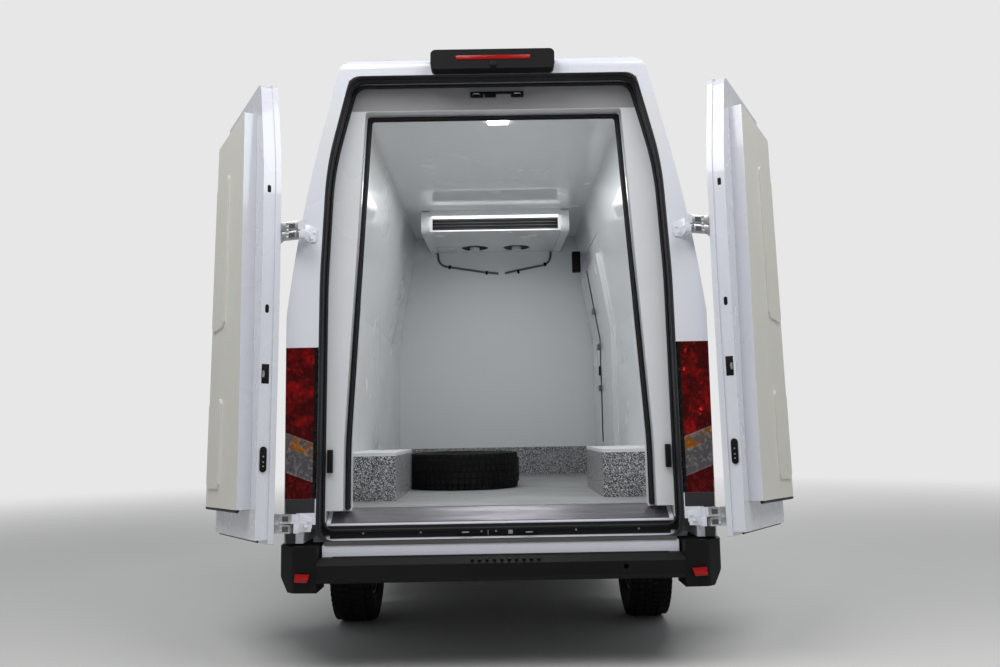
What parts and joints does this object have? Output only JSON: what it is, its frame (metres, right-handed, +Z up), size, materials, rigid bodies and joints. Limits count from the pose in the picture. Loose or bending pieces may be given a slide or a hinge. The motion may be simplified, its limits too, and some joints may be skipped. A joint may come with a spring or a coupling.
{
  "type": "refrigerated panel van",
  "caption": "High-roof panel van with an insulated load space, roof cooling unit, hinged rear doors that stand open, cab doors, bonnet, steering and rolling wheels.",
  "frame": {"origin": "on the ground below the middle of the vehicle's overall box", "axes": "+Y forward, +X to the vehicle's right, +Z up"},
  "size_m": [2.9666, 5.6839, 3.042],
  "materials": {
    "white_paint": "gloss white paint",
    "white_lining": "smooth white lining",
    "cream_lining": "smooth off-white lining",
    "grey_floor": "grey anti-slip floor",
    "glass": "clear glass with a green tint",
    "lamp_lens": "clear lamp lens",
    "tail_lens": "red, amber and clear lamp lens",
    "black_plastic": "grained black plastic",
    "bare_aluminium": "brushed aluminium plate",
    "seat_fabric": "dark woven cloth",
    "chassis_paint": "black underbody paint",
    "engine_metal": "plain cast metal",
    "seal_rubber": "soft black rubber profile",
    "grey_hose": "grey plastic hose",
    "tyre_rubber": "black rubber",
    "steel_wheel": "silver-grey painted steel"
  },
  "bodies": {
    "root": {"side_left": "white_paint", "side_right": "white_paint", "sliding_door": "white_paint", "roof": "white_paint", "load_floor": "grey_floor", "arch_boxes": "white_lining", "bulkhead": "white_lining", "cab_shell": "white_paint", "underbody": "chassis_paint", "front_wings": "white_paint", "windscreen": "glass", "grille": "black_plastic", "headlamps": "lamp_lens", "front_bumper": "black_plastic", "rear_sill": "white_paint", "sill_plate": "bare_aluminium", "rear_step": "black_plastic", "rear_corners": "black_plastic", "tail_lamps": "tail_lens", "brake_light": "black_plastic", "evaporator": "white_lining", "condenser": "white_paint", "seats": "seat_fabric", "dashboard": "black_plastic", "engine": "engine_metal", "front_subframe": "chassis_paint", "rear_axle": "chassis_paint", "spare_wheel": "tyre_rubber", "portal_seals": "seal_rubber", "drain_hoses": "grey_hose", "prop_shaft": "chassis_paint", "exhaust": "engine_metal", "fuel_tank": "black_plastic"},
    "bonnet": {"bonnet": "white_paint"},
    "cab_door_left": {"cab_door_left": "white_paint", "door_glass_left": "glass", "mirror_left": "black_plastic"},
    "cab_door_right": {"cab_door_right": "white_paint", "door_glass_right": "glass", "mirror_right": "black_plastic"},
    "rear_door_left": {"rear_door_left": "white_paint", "door_liner_left": "cream_lining"},
    "rear_door_right": {"rear_door_right": "white_paint", "door_liner_right": "cream_lining"},
    "steer_left": {"knuckle_left": "chassis_paint"},
    "steer_right": {"knuckle_right": "chassis_paint"},
    "wheel_front_left": {"tyre_front_left": "tyre_rubber", "rim_front_left": "steel_wheel"},
    "wheel_front_right": {"tyre_front_right": "tyre_rubber", "rim_front_right": "steel_wheel"},
    "wheel_rear_left": {"tyre_rear_left": "tyre_rubber", "rim_rear_left": "steel_wheel"},
    "wheel_rear_right": {"tyre_rear_right": "tyre_rubber", "rim_rear_right": "steel_wheel"}
  },
  "joints": [
    {"name": "bonnet_hinge", "type": "hinge", "parent": "root", "child": "bonnet", "pos_m": [0, 2.083, 1.398], "axis": [1, 0, 0], "range_deg": [0, 50]},
    {"name": "cab_door_left_hinge", "type": "hinge", "parent": "root", "child": "cab_door_left", "pos_m": [-0.99, 1.594, 1], "axis": [0, 0, -1], "range_deg": [0, 70]},
    {"name": "cab_door_right_hinge", "type": "hinge", "parent": "root", "child": "cab_door_right", "pos_m": [0.99, 1.594, 1], "axis": [0, 0, 1], "range_deg": [0, 70]},
    {"name": "rear_door_left_hinge", "type": "hinge", "parent": "root", "child": "rear_door_left", "pos_m": [-0.883, -2.8429, 0.6939], "axis": [0, -0.0499, -0.9988], "range_deg": [-240, 12]},
    {"name": "rear_door_right_hinge", "type": "hinge", "parent": "root", "child": "rear_door_right", "pos_m": [0.883, -2.8429, 0.6939], "axis": [0, 0.0499, 0.9988], "range_deg": [-240, 12]},
    {"name": "steer_left_pivot", "type": "hinge", "parent": "root", "child": "steer_left", "pos_m": [-0.715, 1.84, 0.349], "axis": [0, 0, 1], "range_deg": [-35, 35]},
    {"name": "steer_right_pivot", "type": "hinge", "parent": "root", "child": "steer_right", "pos_m": [0.715, 1.84, 0.349], "axis": [0, 0, 1], "range_deg": [-35, 35]},
    {"name": "wheel_front_left_spin", "type": "hinge", "parent": "steer_left", "child": "wheel_front_left", "pos_m": [-0.845, 1.84, 0.349], "axis": [1, 0, 0], "continuous": true},
    {"name": "wheel_front_right_spin", "type": "hinge", "parent": "steer_right", "child": "wheel_front_right", "pos_m": [0.845, 1.84, 0.349], "axis": [1, 0, 0], "continuous": true},
    {"name": "wheel_rear_left_spin", "type": "hinge", "parent": "root", "child": "wheel_rear_left", "pos_m": [-0.8, -1.68, 0.349], "axis": [1, 0, 0], "continuous": true},
    {"name": "wheel_rear_right_spin", "type": "hinge", "parent": "root", "child": "wheel_rear_right", "pos_m": [0.8, -1.68, 0.349], "axis": [1, 0, 0], "continuous": true}
  ],
  "couplings": [
    {"joint": "steer_right_pivot", "follows": "steer_left_pivot", "ratio": 1}
  ]
}
